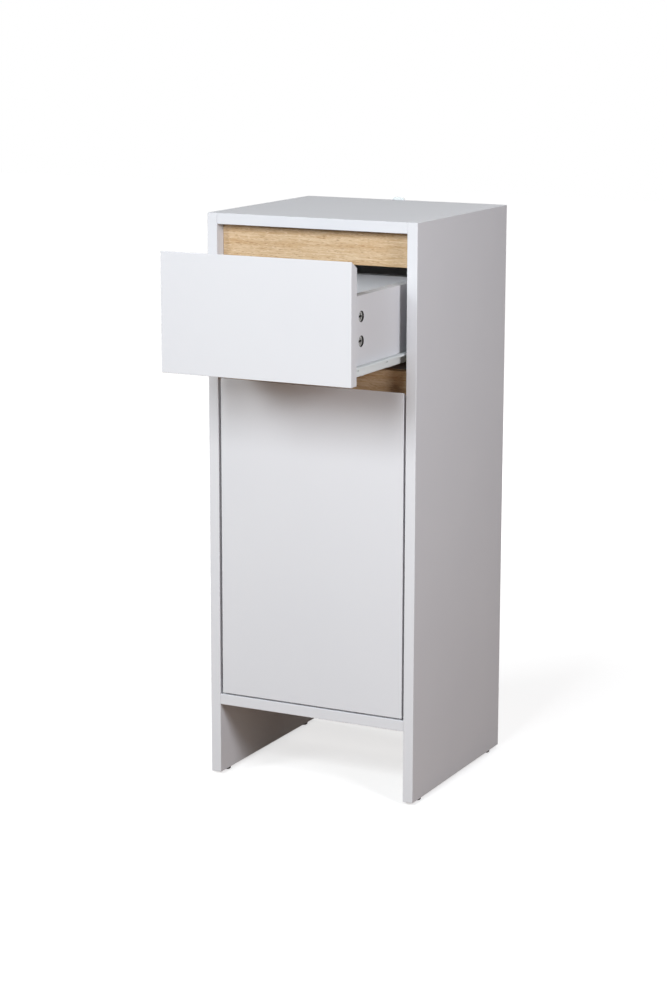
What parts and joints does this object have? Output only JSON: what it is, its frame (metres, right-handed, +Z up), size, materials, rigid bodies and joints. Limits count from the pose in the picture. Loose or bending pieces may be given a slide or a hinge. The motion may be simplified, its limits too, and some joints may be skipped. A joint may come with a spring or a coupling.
{
  "type": "bathroom cabinet",
  "caption": "Tall narrow white cabinet standing on its side panels, with a drawer over a hinged door, sloped finger edges instead of handles and oak-coloured rails behind the fronts.",
  "frame": {"origin": "on the floor, under the middle of the whole with the drawer pulled out and the door shut", "axes": "+X to the viewer's right, +Y to the back, +Z up"},
  "size_m": [0.316, 0.459, 0.804],
  "materials": {
    "white_melamine": "satin white melamine foil on chipboard",
    "white_lacquer": "smooth white lacquer on fibreboard",
    "drawer_board": "white foil on chipboard",
    "oak_veneer": "straight-grained oak effect foil",
    "hardboard": "white painted hardboard",
    "beech": "plain turned beech",
    "zinc": "raw die-cast zinc",
    "epoxy_steel": "pale grey-white epoxy on sheet steel",
    "nylon": "moulded white nylon",
    "glide_plastic": "dark moulded plastic",
    "bumper_rubber": "soft translucent pad",
    "nickel_steel": "nickel-plated pressed steel",
    "screw_steel": "zinc-plated screws"
  },
  "bodies": {
    "cabinet": {"back_panel": "hardboard", "back_panel_screws": "screw_steel", "bottom_panel": "white_melamine", "cabinet_runner_left": "epoxy_steel", "cabinet_runner_right": "epoxy_steel", "cabinet_runner_screws": "screw_steel", "carcass_cam_bolts": "screw_steel", "carcass_cams": "zinc", "divider_panel": "white_melamine", "foot_glide_back_left": "glide_plastic", "foot_glide_back_right": "glide_plastic", "foot_glide_front_left": "glide_plastic", "foot_glide_front_right": "glide_plastic", "front_roller_axles": "screw_steel", "hanger_plate": "epoxy_steel", "hanger_screw": "screw_steel", "hinge_arm_lower": "nickel_steel", "hinge_arm_pins": "screw_steel", "hinge_arm_screws": "screw_steel", "hinge_arm_upper": "nickel_steel", "hinge_plate_lower": "nickel_steel", "hinge_plate_screws": "screw_steel", "hinge_plate_upper": "nickel_steel", "lower_rail": "oak_veneer", "panel_dowels": "beech", "shelf": "white_melamine", "shelf_pins": "nickel_steel", "side_panel_left": "white_melamine", "side_panel_right": "white_melamine", "top_panel": "white_melamine", "upper_rail": "oak_veneer"},
    "drawer": {"drawer_back": "drawer_board", "drawer_back_screws": "screw_steel", "drawer_bottom": "hardboard", "drawer_bumpers": "bumper_rubber", "drawer_cam_bolts": "screw_steel", "drawer_cams": "zinc", "drawer_front": "white_lacquer", "drawer_runner_left": "epoxy_steel", "drawer_runner_right": "epoxy_steel", "drawer_runner_screws": "screw_steel", "drawer_side_left": "drawer_board", "drawer_side_right": "drawer_board", "rear_roller_axles": "screw_steel"},
    "front_rollers": {"front_roller_left": "nylon", "front_roller_right": "nylon"},
    "rear_rollers": {"rear_roller_left": "nylon", "rear_roller_right": "nylon"},
    "hinge_outer_links": {"hinge_outer_link_upper": "nickel_steel", "hinge_outer_link_lower": "nickel_steel"},
    "hinge_inner_links": {"hinge_inner_link_upper": "nickel_steel", "hinge_inner_link_lower": "nickel_steel"},
    "door": {"door_panel": "white_lacquer", "door_bumpers": "bumper_rubber", "hinge_cup_upper": "nickel_steel", "hinge_cup_lower": "nickel_steel", "hinge_cup_pins": "screw_steel", "hinge_cup_screws": "screw_steel"}
  },
  "joints": [
    {"name": "drawer_slide", "type": "slide", "parent": "cabinet", "child": "drawer", "axis": [0, -1, 0], "range_m": [-0.157, 0.028]},
    {"name": "front_roller_spin", "type": "hinge", "parent": "cabinet", "child": "front_rollers", "pos_m": [0, -0.03, 0.6154], "axis": [1, 0, 0], "range_deg": [-955, 172]},
    {"name": "rear_roller_spin", "type": "hinge", "parent": "drawer", "child": "rear_rollers", "pos_m": [0, 0.0235, 0.6154], "axis": [1, 0, 0], "range_deg": [-955, 172]},
    {"name": "outer_link_swing", "type": "hinge", "parent": "cabinet", "child": "hinge_outer_links", "pos_m": [-0.1045, -0.0523, 0.35], "axis": [0, 0, -1], "range_deg": [-40, 0]},
    {"name": "door_swing", "type": "hinge", "parent": "hinge_outer_links", "child": "door", "pos_m": [-0.1266, -0.0594, 0.35], "axis": [0, 0, -1], "range_deg": [0, 131]},
    {"name": "inner_link_swing", "type": "hinge", "parent": "cabinet", "child": "hinge_inner_links", "pos_m": [-0.1126, -0.0427, 0.35], "axis": [0, 0, -1], "range_deg": [-45.5, 0]}
  ],
  "couplings": [
    {"joint": "front_roller_spin", "follows": "drawer_slide", "rad_per_m": 105.26},
    {"joint": "rear_roller_spin", "follows": "drawer_slide", "rad_per_m": 105.26},
    {"joint": "outer_link_swing", "follows": "door_swing", "ratio": -0.3007},
    {"joint": "inner_link_swing", "follows": "door_swing", "ratio": -0.34266}
  ]
}
